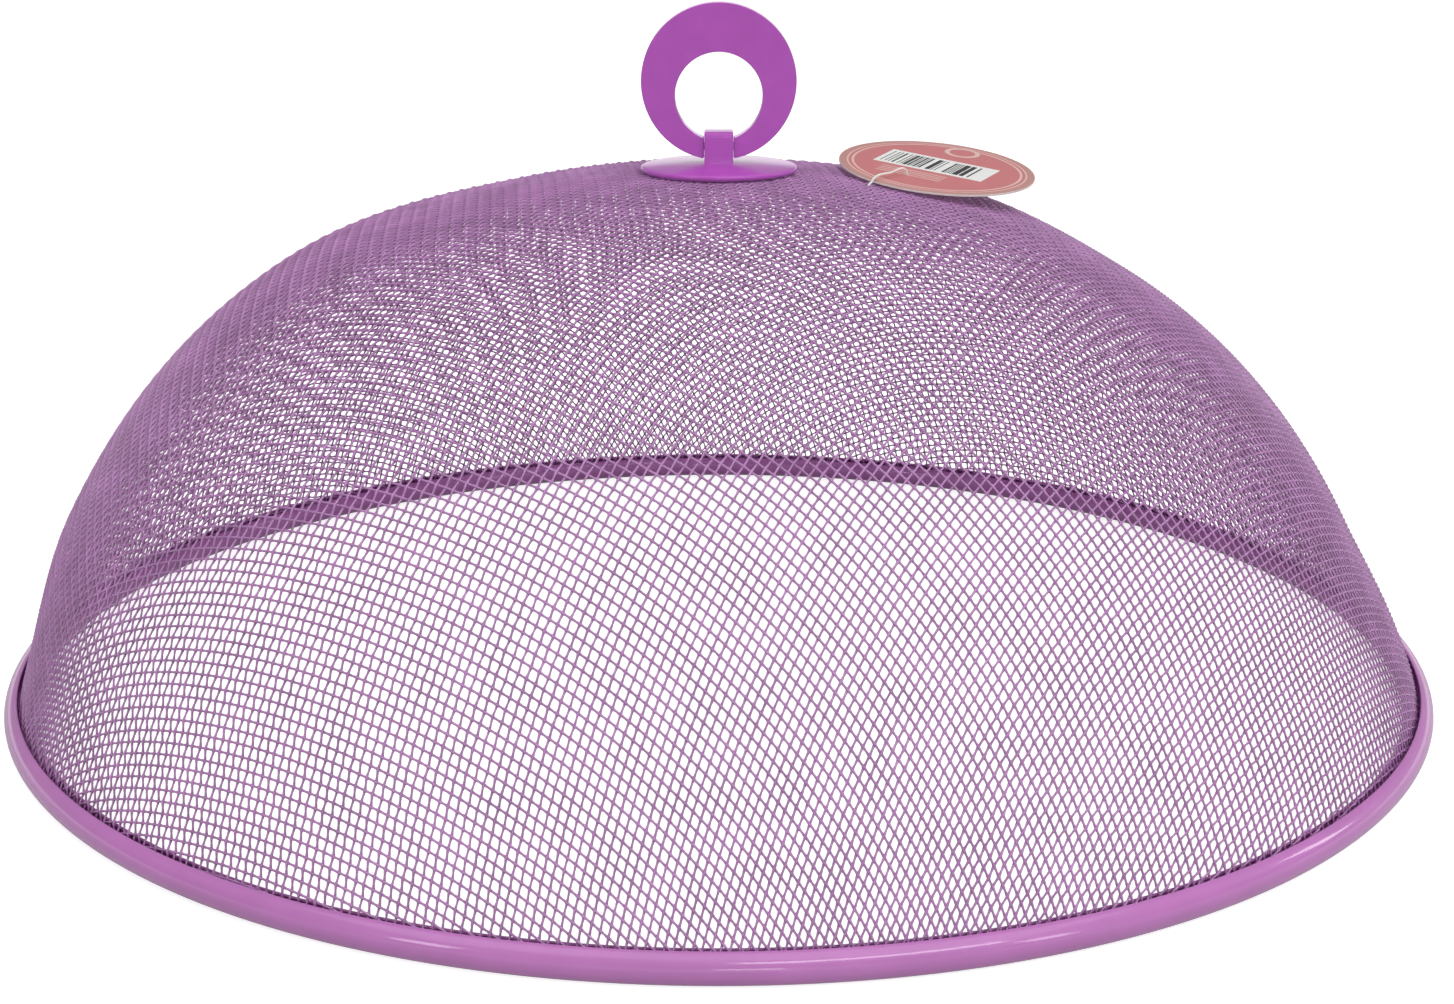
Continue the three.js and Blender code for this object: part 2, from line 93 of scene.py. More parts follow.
def linear(hex_colour):
    """An sRGB hex colour as linear red, green, blue and alpha."""
    channels = [int(hex_colour[place:place + 2], 16) / 255 for place in (0, 2, 4)]
    return tuple(c / 12.92 if c <= 0.04045 else ((c + 0.055) / 1.055) ** 2.4 for c in channels) + (1.0,)


def colour(name, description, hex_colour):
    """A colour that a user can change, given as sRGB hex."""
    return FloatVectorProperty(name=name, description=description, default=linear(hex_colour), size=4,
                               min=0, max=1, subtype="COLOR")


class ClothSettings(bpy.types.PropertyGroup):
    """The pressed dome of woven wire."""

    crown_height: size("Crown height", "Middle of the cloth above the table", 126.2)
    flank_lean: angle("Flank lean", "Lean of the cloth where it leaves the rim", 17.3)
    flank_reach: size("Flank reach", "Length of the profile's lower handle", 75.4)
    crown_reach: size("Crown reach", "Length of the profile's upper handle", 108.3)
    warp_pitch: size("Warp pitch", "From one crossing to the next along a warp wire", 2.423)
    weft_pitch: size("Weft pitch", "From one crossing to the next along a weft wire", 2.033)
    warp_heading: angle("Warp heading", "Direction of the warp at the crown, from +X", -126.1)
    weft_heading: angle("Weft heading", "Direction of the weft at the crown, from +X", -33.0)
    centre_x: size("Centre X", "First crossing's place", -0.36, least=-1)
    centre_y: size("Centre Y", "First crossing's place", 1.31, least=-1)
    wire: size("Wire", "Steel wire with its coating, halfway between crossings", 0.42)
    crossing: size("Crossing", "Wire at a crossing, where the coating gathers", 0.62)
    warp_rise: size("Warp rise", "Warp above and below the cloth's middle at crossings", 0.26)
    weft_rise: size("Weft rise", "Weft above and below the cloth's middle at crossings", 0.05)
    bulge: size("Bulge", "How far the flank stands out on the left and in on the right", 2.8)
    coating: colour("Coating", "Epoxy coating on the wire", "B681B8")


class RimSettings(bpy.types.PropertyGroup):
    """The rolled hoop round the cloth's edge."""

    tube: size("Tube", "Outer diameter of the rolled strip", 7)
    sheet: size("Strip", "Thickness of the steel strip", 0.6)
    outer_slot: size("Outer slot", "From the middle of the cloth to the outer lip", 1.15)
    inner_slot: size("Inner slot", "From the middle of the cloth to the inner lip", 0.9)
    enamel: colour("Enamel", "Enamel on the hoop", "C478C1")


class HandleSettings(bpy.types.PropertyGroup):
    """The base, the pull ring and what fastens them."""

    base_thickness: size("Base thickness", "Thickness of the moulded disc", 1.3)
    base_gap: size("Base gap", "From the middle of the cloth to the disc's underside", 0.62)
    base_edge: size("Base edge", "Rounding of the disc's edge", 0.6)
    base_trim: size("Base trim", "Taken off the disc's radius", 0.4)
    base_crown: size("Base crown", "How much more the disc is domed than the cloth", 0.35)
    post_width: size("Post width", "Along the pin", 7)
    post_depth: size("Post depth", "Across the pin", 7.4)
    post_top: size("Post top rounding", "Rounding of the post's top", 1.3)
    spigot: size("Spigot", "Diameter of the boss through the cloth", 6.4)
    eye: size("Eye", "Diameter of the hole for the pin", 2.3)
    screw_hole: size("Screw hole", "Diameter of the hole for the screw", 3.4)
    ring_hole: size("Ring hole", "Diameter of the finger hole", 21.2)
    ring_hole_drop: size("Ring hole drop", "Hole's centre below the ring's centre", 3.5)
    ring_edge: size("Ring edge", "Rounding of the ring's edges", 0.7)
    ring_slot: size("Ring slot", "Width of the opening for the post", 7.18)
    ring_end: size("Ring end", "Bevel at the lower corner of each end", 1)
    screw_shank: size("Screw shank", "Diameter of the screw's shank", 2.9)
    plastic: colour("Plastic", "Moulded plastic of the ring and the base", "BE58C4")


class TagSettings(bpy.types.PropertyGroup):
    """The round card and the nylon pin that holds it."""

    diameter: size("Card diameter", "Round card", 48.6)
    thickness: size("Card thickness", "Round card", 0.5)
    hole: size("Card hole", "Diameter of the hole for the filament", 1.5)
    filament: size("Filament", "Diameter of the nylon filament", 0.55)
    toggle_length: size("Toggle length", "Bar under the cloth", 8)
    toggle: size("Toggle", "Diameter of the bar under the cloth", 1.1)
    paddle_length: size("Paddle length", "Flat end under the card", 5)
    paddle_width: size("Paddle width", "Flat end under the card", 2.6)
    paddle_thickness: size("Paddle thickness", "Flat end under the card", 0.6)
    ink: colour("Ink", "Salmon print on the card", "D87E80")
    board: colour("Board", "Unprinted board and pale lines", "EFE3DC")


class StudioSettings(bpy.types.PropertyGroup):
    """Camera and light."""

    camera_back: size("Camera back", "Camera's distance in front of the cover's axis", 551.9)
    camera_height: size("Camera height", "Camera above the table", 205.5)
    camera_pitch: angle("Camera pitch", "How far the camera looks down", 16.509)
    focal_pixels: FloatProperty(name="Focal length", description="In pixels of the photo", default=2260.5)
    middle_pixel: FloatProperty(name="Middle", description="Pixel column on the camera's axis", default=718.8)
    floor_side: size("Floor side", "Side of the square floor", 12000)


# Nodes and materials

PHOTO_WIDTH = 1454
SENSOR_WIDTH = 36


def add_node(tree, kind, settings=None, inputs=None):
    """Adds a node, sets its properties, and gives its inputs values or links."""
    node = tree.nodes.new(kind)
    for name, value in (settings or {}).items():
        setattr(node, name, value)
    for name, value in (inputs or {}).items():
        if isinstance(value, bpy.types.NodeSocket):
            tree.links.new(value, node.inputs[name])
        else:
            node.inputs[name].default_value = value
    return node


def new_material(name, shader_inputs):
    """A material with one Principled shader; returns the material, its nodes and the shader."""
    material = bpy.data.materials.new(name)
    material.use_nodes = True
    tree = material.node_tree
    tree.nodes.clear()
    shader = add_node(tree, "ShaderNodeBsdfPrincipled", inputs=shader_inputs)
    add_node(tree, "ShaderNodeOutputMaterial", inputs={"Surface": shader.outputs["BSDF"]})
    return material, tree, shader


def maths(tree, operation, *values):
    """One operation on values or links."""
    return add_node(tree, "ShaderNodeMath", {"operation": operation}, dict(enumerate(values))).outputs[0]


def add_relief(tree, shader, pattern, height):
    """Raises the surface by a pattern."""
    bump = add_node(tree, "ShaderNodeBump", inputs={"Height": pattern, "Distance": height, "Strength": 1})
    tree.links.new(bump.outputs["Normal"], shader.inputs["Normal"])


def soft_noise(tree, grain, detail):
    """Noise of a given grain, fixed to the piece."""
    place = add_node(tree, "ShaderNodeTexCoord")
    return add_node(tree, "ShaderNodeTexNoise", inputs={
        "Vector": place.outputs["Object"], "Scale": 1 / grain, "Detail": detail}).outputs["Fac"]


# Where the spots' two shades begin on the noise's scale
SPOT_EDGES = (0.3, 0.7)
SPOT_DETAIL = 3
RELIEF_DETAIL = 2


def surface(name, shader_inputs, base, spot_size, contrast, grain=None, height=None):
    """A material in soft spots around the base colour, with fine relief if it has a grain."""
    material, tree, shader = new_material(name, shader_inputs)
    ramp = add_node(tree, "ShaderNodeValToRGB", inputs={"Fac": soft_noise(tree, spot_size, SPOT_DETAIL)})
    for element, edge, factor in zip(ramp.color_ramp.elements, SPOT_EDGES, (1 - contrast, 1 + contrast)):
        element.color = tuple(min(1, channel * factor) for channel in base[:3]) + (1,)
        element.position = edge
    tree.links.new(ramp.outputs["Color"], shader.inputs["Base Color"])
    if grain:
        add_relief(tree, shader, soft_noise(tree, grain, RELIEF_DETAIL), height)
    return material


def epoxy_coated_wire():
    """Fused epoxy on steel wire: a satin skin whose thickness, and so its shade, varies along the wire."""
    return surface("epoxy_coated_wire", {"Roughness": 0.27, "IOR": 1.65},
                   bpy.context.scene.cover_cloth.coating,
                   spot_size=9 * MM, contrast=0.16, grain=0.35 * MM, height=0.012 * MM)


def stoved_enamel():
    """Stoved enamel on rolled steel: a glossy film with slight orange peel, which breaks long highlights."""
    return surface("stoved_enamel", {
        "Roughness": 0.4, "IOR": 1.45, "Coat Weight": 0.8, "Coat Roughness": 0.08, "Coat IOR": 1.5,
    }, bpy.context.scene.cover_rim.enamel, spot_size=14 * MM, contrast=0.05, grain=2.2 * MM, height=0.02 * MM)


def moulded_plastic():
    """Injection moulded ABS: clean gloss from a polished mould, with faint flow shading in the colour."""
    return surface("moulded_plastic", {
        "Roughness": 0.14, "IOR": 1.48, "Subsurface Weight": 0.06, "Subsurface Scale": 1 * MM,
    }, bpy.context.scene.cover_handle.plastic,
        spot_size=6 * MM, contrast=0.05, grain=0.9 * MM, height=0.004 * MM)


def zinc_plated_steel():
    """Zinc plate on turned steel: grey metal with a soft, slightly uneven shine."""
    return surface("zinc_plated_steel", {"Metallic": 1, "Roughness": 0.32}, linear("B9BCC0"),
                   spot_size=1.5 * MM, contrast=0.12, grain=0.2 * MM, height=0.005 * MM)


def moulded_nylon():
    """Moulded nylon: milky white, lets some light through, softly shiny."""
    return surface("moulded_nylon", {
        "Roughness": 0.3, "IOR": 1.53, "Subsurface Weight": 0.35, "Subsurface Scale": 0.6 * MM,
    }, linear("F4F1EA"), spot_size=3 * MM, contrast=0.03)


def board_edge():
    """Cut edge and back of the board: pale fibre, matt."""
    return surface("board_edge", {"Roughness": 0.8, "IOR": 1.4}, bpy.context.scene.cover_tag.board,
                   spot_size=0.8 * MM, contrast=0.06, grain=0.15 * MM, height=0.02 * MM)


# The card's print, in the card's own millimetres from its centre, +X to the photo's right
PANEL_CENTRE = (0.05, 1.6)
PANEL_SIZE = (28.8, 13.4)
PANEL_TURN = math.radians(-27.5)
PALE_RINGS = ((22.2, 0.22), (20.9, 0.3))
MARGIN_FROM = 22.6
STRIPE_PITCH = 0.3
STRIPE_SHARE = 0.48
STRIPES_FROM, STRIPES_TO = -13.4, 10.4
STRIPES_HALF_HEIGHT = 5.2
RULE_LEFT, RULE_RIGHT = -10.5, 6.5
RULE_OFFSETS = (-9.3, -10.8, -12.3, -13.8)
RULE_HALF_WIDTH = 0.26
LOOP_CENTRE = (7.9, 15.4)
LOOP_RADIUS = 3.9
LOOP_HALF_WIDTH = 0.6
FIBRES_PER_MM = 1.6
FIBRE_DETAIL = 6
FIBRE_HEIGHT = 0.01 * MM
# From below: unevenly laid ink, margin, pale marks, panel and stripes
PRINT_SHADES = ("C27478", "C28F88", "E4C2BC", "F0F0EE", "2A2A2E")


def printed_card():
    """Offset print on coated board: salmon ink with pale lines, a white panel and plain dark stripes."""
    material, tree, shader = new_material("printed_card", {
        "Roughness": 0.5, "IOR": 1.45, "Coat Weight": 0.15, "Coat Roughness": 0.3})

    def both(*shares):
        return maths(tree, "MULTIPLY", *shares)

    def within(value, low, high):
        return both(maths(tree, "GREATER_THAN", value, low), maths(tree, "LESS_THAN", value, high))

    uv = add_node(tree, "ShaderNodeUVMap", {"uv_map": "card_millimetres"}).outputs["UV"]
    from_centre = add_node(tree, "ShaderNodeVectorMath", {"operation": "LENGTH"}, {0: uv})
    centre = Vector(PANEL_CENTRE + (0,))
    centre.rotate(Matrix.Rotation(-PANEL_TURN, 3, "Z"))
    turned = add_node(tree, "ShaderNodeMapping", inputs={
        "Vector": uv, "Rotation": (0, 0, -PANEL_TURN), "Location": -centre})
    along = add_node(tree, "ShaderNodeSeparateXYZ", inputs={"Vector": turned.outputs["Vector"]})
    x, y = along.outputs["X"], along.outputs["Y"]

    # Pale marks: two rings near the edge, thin rules below the panel, and a plain loop above it
    radius = from_centre.outputs["Value"]
    loop = add_node(tree, "ShaderNodeVectorMath", {"operation": "DISTANCE"},
                    {0: uv, 1: LOOP_CENTRE + (0,)})
    pale = [maths(tree, "COMPARE", radius, *ring) for ring in PALE_RINGS]
    pale += [both(maths(tree, "COMPARE", y, offset, RULE_HALF_WIDTH), within(x, RULE_LEFT, RULE_RIGHT))
             for offset in RULE_OFFSETS]
    marks = maths(tree, "COMPARE", loop.outputs["Value"], LOOP_RADIUS, LOOP_HALF_WIDTH)
    for mark in pale:
        marks = maths(tree, "MAXIMUM", marks, mark)
    margin = maths(tree, "GREATER_THAN", radius, MARGIN_FROM)

    panel = both(*(within(value, -side / 2, side / 2) for value, side in zip((x, y), PANEL_SIZE)))
    step = maths(tree, "FLOOR", maths(tree, "DIVIDE", x, STRIPE_PITCH))
    chance = add_node(tree, "ShaderNodeTexWhiteNoise", {"noise_dimensions": "1D"}, {"W": step})
    stripes = both(maths(tree, "LESS_THAN", chance.outputs["Value"], STRIPE_SHARE),
                   both(within(x, STRIPES_FROM, STRIPES_TO),
                        within(y, -STRIPES_HALF_HEIGHT, STRIPES_HALF_HEIGHT)))

    # The ink lies unevenly on the board's fibres
    fibre = add_node(tree, "ShaderNodeTexNoise", inputs={
        "Vector": uv, "Scale": FIBRES_PER_MM, "Detail": FIBRE_DETAIL})
    printed = tuple(bpy.context.scene.cover_tag.ink)
    for share, shade in zip((fibre.outputs["Fac"], margin, marks, panel, stripes), PRINT_SHADES):
        printed = add_node(tree, "ShaderNodeMix", {"data_type": "RGBA"}, {
            "Factor": share, "A": printed, "B": linear(shade)}).outputs[2]
    tree.links.new(printed, shader.inputs["Base Color"])
    add_relief(tree, shader, fibre.outputs["Fac"], FIBRE_HEIGHT)
    return material


def material_named(maker):
    """The material that a maker function gives, made once."""
    return bpy.data.materials.get(maker.__name__) or maker()


# Modelling helpers

NEAR = 0.01 * MM
BORE_SIDES = 48
EDGE_STEPS = 5
# Points nearer than this become one, which mends faces without area that cuts leave
WELD_REACH = 0.001 * MM


def start():
    """Leaves edit mode and selects nothing."""
    if bpy.context.object and bpy.context.object.mode != "OBJECT":
        bpy.ops.object.mode_set(mode="OBJECT")
    bpy.ops.object.select_all(action="DESELECT")


def take(piece):
    """Makes one object the selected and active one."""
    start()
    piece.select_set(True)
    bpy.context.view_layer.objects.active = piece


def settle(piece):
    """Puts the object at the origin and its place in its mesh."""
    take(piece)
    bpy.ops.object.transform_apply(location=True, rotation=True, scale=True)


def apply_modifier(piece, kind, **settings):
    """Adds a modifier with these settings and applies it."""
    take(piece)
    modifier = piece.modifiers.new(kind.title(), kind)
    for name, value in settings.items():
        setattr(modifier, name, value)
    bpy.ops.object.modifier_apply(modifier=modifier.name)


def round_edges(piece, width, steps, from_degrees):
    """Rounds the edges that turn by more than an angle."""
    apply_modifier(piece, "BEVEL", width=width, segments=steps, limit_method="ANGLE",
                   angle_limit=math.radians(from_degrees))


def carve(piece, tool, operation="DIFFERENCE"):
    """Cuts a tool out of the piece or joins them; the tool is then gone."""
    settle(tool)
    apply_modifier(piece, "BOOLEAN", object=tool, operation=operation, solver="EXACT")
    bpy.data.objects.remove(tool, do_unlink=True)


def edit(piece, select):
    """Opens the piece's mesh with all of it selected, or none."""
    take(piece)
    bpy.ops.object.mode_set(mode="EDIT")
    bpy.ops.mesh.select_all(action=select)


def add_shape(kind, **settings):
    """A new mesh of a basic kind, with its place in its mesh."""
    start()
    getattr(bpy.ops.mesh, f"primitive_{kind}_add")(**settings)
    shape = bpy.context.object
    settle(shape)
    return shape


def add_bar(radius, length, centre, sides, direction=(0, 0, 1)):
    """A round bar along a direction."""
    turn = Vector(direction).to_track_quat("Z", "Y").to_euler()
    return add_shape("cylinder", vertices=sides, radius=radius, depth=length, location=centre, rotation=turn)


def add_block(centre, sides):
    """A block with its sides along the axes."""
    return add_shape("cube", size=1, location=centre, scale=sides)


def add_object(name, data):
    """A new object in the scene."""
    holder = bpy.data.objects.new(name, data)
    bpy.context.scene.collection.objects.link(holder)
    return holder


def round_curve(name, radius, roundness):
    """An empty curve that gives capped round wire."""
    curve = bpy.data.curves.new(name, "CURVE")
    curve.dimensions = "3D"
    curve.bevel_depth = radius
    curve.bevel_resolution = roundness
    curve.use_fill_caps = True
    return curve


def curve_mesh(curve):
    """The curve as a mesh object."""
    take(add_object(curve.name, curve))
    bpy.ops.object.convert(target="MESH")
    return bpy.context.object


def bevel_edges(piece, wanted, offset, segments):
    """Bevels the edges whose two ends pass the test."""
    edit(piece, "DESELECT")
    bpy.ops.mesh.select_mode(type="EDGE")
    shape = bmesh.from_edit_mesh(piece.data)
    for edge in shape.edges:
        edge.select_set(wanted(edge.verts[0].co, edge.verts[1].co))
    bmesh.update_edit_mesh(piece.data)
    bpy.ops.mesh.bevel(offset=offset, offset_type="OFFSET", segments=segments, profile=0.5,
                       clamp_overlap=True)
    bpy.ops.object.mode_set(mode="OBJECT")


def finish_piece(piece, name, maker, body, slot_name, *nodes, sharp=35, flats=True, weld=True):
    """Names the piece, gives it its finish, ties it to its body and hides its CAD nodes; slot_name is not
    used.
    """
    take(piece)
    if flats and weld:
        apply_modifier(piece, "WELD", merge_threshold=WELD_REACH)
    bpy.ops.object.shade_smooth_by_angle(angle=math.radians(sharp))
    if flats:
        # Flat faces stay flat up to their rounded edges
        apply_modifier(piece, "WEIGHTED_NORMAL", keep_sharp=True)
    piece.name = piece.data.name = name
    if not piece.data.materials:
        piece.data.materials.append(material_named(maker))
    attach(piece, body)
    if nodes:
        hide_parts(*nodes)
    return piece


# The dome's profile and the net of its wires

PROFILE_STEPS = 4000
SETTLE_ROUNDS = 3
NET_ROUNDS = 5
SPARE_CROSSINGS = 3
TINY = 1e-9


def off_axis(points):
    """Distance of points from the axis."""
    return np.hypot(points[..., 0], points[..., 1])


class Dome:
    """The middle surface of the wire cloth, as the radius and height of its profile."""

    def __init__(self):
        cloth = bpy.context.scene.cover_cloth
        tube = bpy.context.scene.cover_rim.tube
        self.edge = Vector((RIM_HIGH.x - tube / 2, RIM_HIGH.z / 2))
        flank = Vector((-math.sin(cloth.flank_lean), math.cos(cloth.flank_lean))) * cloth.flank_reach
        handles = np.array([self.edge, self.edge + flank, (cloth.crown_reach, cloth.crown_height),
                            (0, cloth.crown_height)])
        share = np.linspace(1, 0, PROFILE_STEPS)[:, None]
        weights = ((1 - share) ** 3, 3 * (1 - share) ** 2 * share, 3 * (1 - share) * share ** 2, share ** 3)
        curve = sum(weight * handle for weight, handle in zip(weights, handles))
        self.radii, self.heights = curve.T
        self.slopes = np.gradient(self.heights, self.radii)

    def height(self, radius):
        """Height at a distance from the axis; past the rim the flank runs on straight."""
        beyond = np.maximum(radius - self.radii[-1], 0)
        return np.interp(radius, self.radii, self.heights) + beyond * self.slopes[-1]

    def normal(self, points):
        """Outward direction at points on the surface."""
        radius = off_axis(points) + TINY
        slope = np.interp(radius, self.radii, self.slopes)
        normal = np.stack([-slope * points[..., 0] / radius, -slope * points[..., 1] / radius,
                           np.ones_like(radius)], -1)
        return normal / np.linalg.norm(normal, axis=-1, keepdims=True)

    def settle(self, points):
        """Brings points that are near the surface onto it."""
        for _ in range(SETTLE_ROUNDS):
            normal = self.normal(points)
            above = points[..., 2] - self.height(off_axis(points))
            points = points - (above * normal[..., 2])[..., None] * normal
        return points


def wire_line(dome, first, heading, step, count):
    """Crossings along one straight-running wire from the first crossing, a step apart."""
    points = [first]
    direction = np.array([math.cos(heading), math.sin(heading), 0])
    for _ in range(count):
        here = points[-1]
        ahead = dome.settle(here + direction * step)
        chord = ahead - here
        ahead = dome.settle(here + chord / np.linalg.norm(chord) * step)
        normal = dome.normal(ahead)
        direction = ahead - here
        direction = direction - normal * (direction @ normal)
        direction = direction / np.linalg.norm(direction)
        points.append(ahead)
    return np.array(points)


def net_quarter(dome, warp, weft, warp_pitch, weft_pitch, reach):
    """Fills the net between two crossing wires: each crossing is one pitch from its two neighbours."""
    net = np.full((len(warp), len(weft), 3), np.nan)
    net[:, 0] = warp
    net[0] = weft
    for diagonal in range(2, len(warp) + len(weft) - 1):
        rows = np.arange(max(1, diagonal - len(weft) + 1), min(len(warp), diagonal))
        columns = diagonal - rows
        before, beside = net[rows - 1, columns], net[rows, columns - 1]
        corner = before + beside - net[rows - 1, columns - 1]
        known = np.isfinite(corner).all(1)
        parts = (rows, columns, before, beside, corner)
        rows, columns, before, beside, corner = (part[known] for part in parts)
        for _ in range(NET_ROUNDS):
            corner = dome.settle(corner)
            along_warp, along_weft = corner - before, corner - beside
            warp_length = np.linalg.norm(along_warp, axis=1)
            weft_length = np.linalg.norm(along_weft, axis=1)
            system = np.stack([along_warp / warp_length[:, None], along_weft / weft_length[:, None],
                               dome.normal(corner)], 1)
            miss = np.stack([warp_pitch - warp_length, weft_pitch - weft_length, np.zeros(len(corner))], 1)
            corner = corner + np.linalg.solve(system, miss[..., None])[..., 0]
        corner[off_axis(corner) > reach] = np.nan
        net[rows, columns] = corner
    return net


def wire_net(dome):
    """All crossings of the cloth: the first index runs along the warp wires, the second along the weft."""
    cloth = bpy.context.scene.cover_cloth
    first = dome.settle(np.array([cloth.centre_x, cloth.centre_y, cloth.crown_height]))
    arc = np.hypot(np.diff(dome.radii), np.diff(dome.heights)).sum()
    reach = dome.edge.x + SPARE_CROSSINGS * cloth.warp_pitch
    counts = [math.ceil(arc / pitch) + SPARE_CROSSINGS for pitch in (cloth.warp_pitch, cloth.weft_pitch)]
    warps = [wire_line(dome, first, cloth.warp_heading + turn, cloth.warp_pitch, counts[0])
             for turn in (0, math.pi)]
    wefts = [wire_line(dome, first, cloth.weft_heading + turn, cloth.weft_pitch, counts[1])
             for turn in (0, math.pi)]
    net = np.full((2 * counts[0] + 1, 2 * counts[1] + 1, 3), np.nan)
    for warp_side, warp in enumerate(warps):
        for weft_side, weft in enumerate(wefts):
            quarter = net_quarter(dome, warp, weft, cloth.warp_pitch, cloth.weft_pitch, reach)
            if warp_side:
                quarter = quarter[::-1]
            if weft_side:
                quarter = quarter[:, ::-1]
            rows = slice(0, counts[0] + 1) if warp_side else slice(counts[0], None)
            columns = slice(0, counts[1] + 1) if weft_side else slice(counts[1], None)
            net[rows, columns] = quarter
    return net


def smooth_step(value, low, high):
    """0 below low, 1 above high, and smooth between."""
    share = np.clip((value - low) / (high - low), 0, 1)
    return share * share * (3 - 2 * share)


# The dome in the photo is fuller on its left: not at all before the first radius or after the last
BULGE_RADII = (60 * MM, 105 * MM, 158 * MM, 173.5 * MM)
SPIGOT_AIR = 0.4 * MM
CLOTH_PARTS = 5


def uneven(points, normals):
    """Moves the cloth out on its left flank and in on its right."""
    radius = off_axis(points)
    crown_start, crown_end, rim_start, rim_end = BULGE_RADII
    share = smooth_step(radius, crown_start, crown_end) * (1 - smooth_step(radius, rim_start, rim_end))
    amount = -bpy.context.scene.cover_cloth.bulge * share * points[..., 0] / (radius + TINY)
    return points + amount[..., None] * normals


def cloth_runs(points, radii, hole_radius, edge_height):
    """The stretches of a wire that lie between the spigot's hole and the rim."""
    distance = off_axis(points)
    inside = np.isfinite(points).all(1) & (points[:, 2] > edge_height) & (distance > hole_radius)
    change = np.flatnonzero(np.diff(np.concatenate([[False], inside, [False]]).astype(int)))
    runs = []
    for begin, end in change.reshape(-1, 2):
        stretch, thickness = points[begin:end], radii[begin:end]
        # The far end first, so that the near end's place stays 0
        for place, last, outside in ((end - begin, end - 1, end), (0, begin, begin - 1)):
            if 0 <= outside < len(points) and points[outside, 2] <= edge_height:
                share = (points[last, 2] - edge_height) / (points[last, 2] - points[outside, 2])
                cut = points[last] + (points[outside] - points[last]) * share
                stretch = np.insert(stretch, place, cut, 0)
                thickness = np.insert(thickness, place, radii[last])
        if len(stretch) > 2:
            runs.append((stretch, thickness))
    return runs


def woven_wires(dome, net, along_warp):
    """Each wire of one direction as a line that rises over one crossing wire and dips under the next."""
    cloth = bpy.context.scene.cover_cloth
    if not along_warp:
        net = net.transpose(1, 0, 2)
    count, wires = net.shape[:2]
    # Parity of the whole sheet, so that the two directions always pass on opposite sides
    parity = (np.add.outer(np.arange(count), np.arange(wires)) % 2) * 2 - 1
    height = cloth.warp_rise if along_warp else -cloth.weft_rise
    line = np.full((2 * count - 1, wires, 3), np.nan)
    normals = dome.normal(net)
    middle = uneven(net, normals)
    line[::2] = middle + normals * (parity * height)[..., None]
    line[1::2] = (middle[:-1] + middle[1:]) / 2
    radii = np.where(np.arange(2 * count - 1) % 2 == 0, cloth.crossing / 2, cloth.wire / 2)
    hole = bpy.context.scene.cover_handle.spigot / 2 + SPIGOT_AIR
    return [run for wire in range(wires) for run in cloth_runs(line[:, wire], radii, hole, dome.edge.y)]


def wires_mesh(name, runs):
    """Round wires along the runs, each a closed tube."""
    curve = round_curve(name, radius=1, roundness=1)
    for points, radii in runs:
        spline = curve.splines.new("POLY")
        spline.points.add(len(points) - 1)
        weighted = np.column_stack([points, np.ones(len(points))])
        spline.points.foreach_set("co", weighted.astype(np.float32).ravel())
        spline.points.foreach_set("radius", radii.astype(np.float32))
        spline.use_smooth = True
    return curve_mesh(curve)


class CoverOperator(bpy.types.Operator):
    """What the operators of the cover share."""

    bl_options = {"REGISTER", "UNDO"}


class COVER_OT_wire_cloth(CoverOperator):
    """Weave the dome from single warp and weft wires"""

    bl_idname = "cover.wire_cloth"
    bl_label = "Wire Cloth"

    def execute(self, context):
        dome = Dome()
        net = wire_net(dome)
        for family, along_warp in (("warp", True), ("weft", False)):
            runs = woven_wires(dome, net, along_warp)
            total = sum(len(points) for points, _ in runs)
            part, filled = [], 0
            number = 1
            for run in runs:
                part.append(run)
                filled += len(run[0])
                if filled >= total * number / CLOTH_PARTS:
                    name = f"{family}_wires_{number}"
                    wires = wires_mesh(name, part)
                    finish_piece(wires, name, epoxy_coated_wire, "cover", "coated_wire",
                                 "mesh_dome", sharp=80, flats=False)
                    part = []
                    number += 1
        return {"FINISHED"}


HOOP_STEPS = 240
TUBE_SIDES = 72
LIP_ROUNDING_SHARE = 0.45


